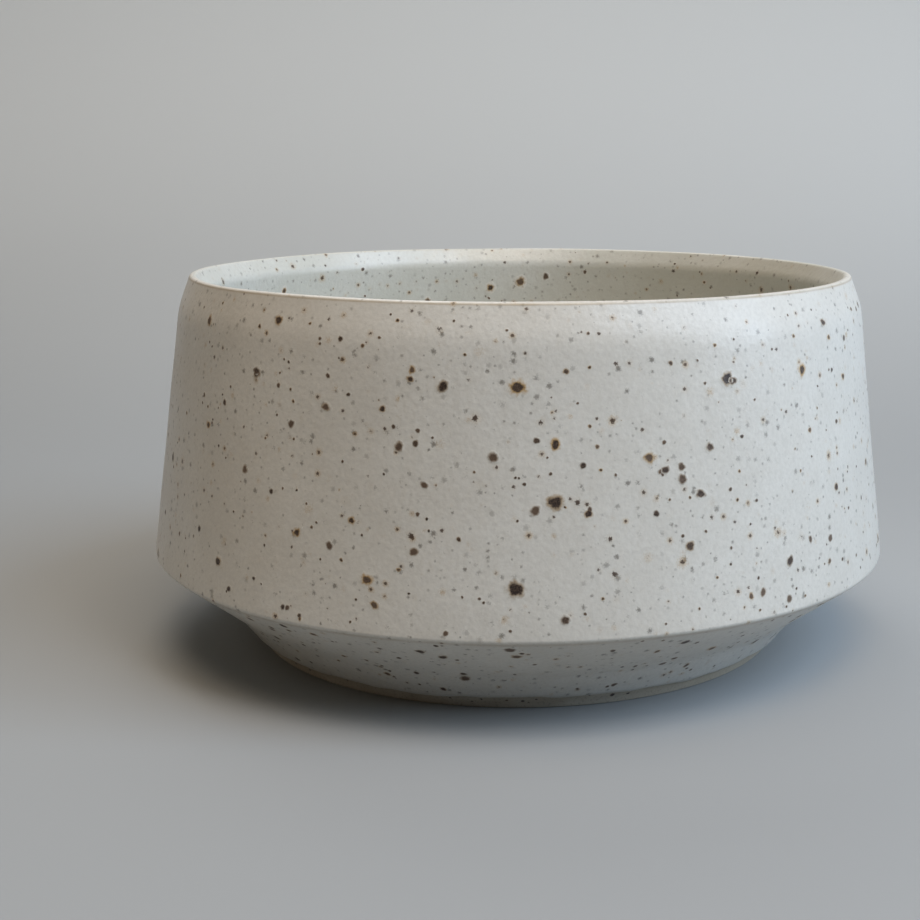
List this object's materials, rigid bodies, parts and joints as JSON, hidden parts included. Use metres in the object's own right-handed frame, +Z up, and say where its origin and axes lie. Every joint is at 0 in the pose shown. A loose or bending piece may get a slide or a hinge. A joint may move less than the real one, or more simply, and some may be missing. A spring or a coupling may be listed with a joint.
{
  "type": "yarn bowl",
  "caption": "Wheel-thrown speckled stoneware yarn bowl with an inward-leaning wall, a turned edge low down, an undercut and a small trimmed foot.",
  "frame": {"origin": "on the table plane, at the middle of the foot ring", "axes": "+Z up along the bowl's axis of revolution, -Y towards the front, +X to the right seen from the front"},
  "size_m": [0.16, 0.16, 0.08],
  "materials": {
    "stoneware": "bare fired stoneware clay, dry and matt",
    "outer_glaze": "satin off-white glaze with iron speckle",
    "liner_glaze": "satin off-white glaze with iron speckle",
    "iron_grains": "dark brown iron melted into the glaze"
  },
  "bodies": {
    "root": {"stoneware_body": "stoneware", "outer_glaze": "outer_glaze", "liner_glaze": "liner_glaze", "iron_grains": "iron_grains"}
  },
  "joints": []
}
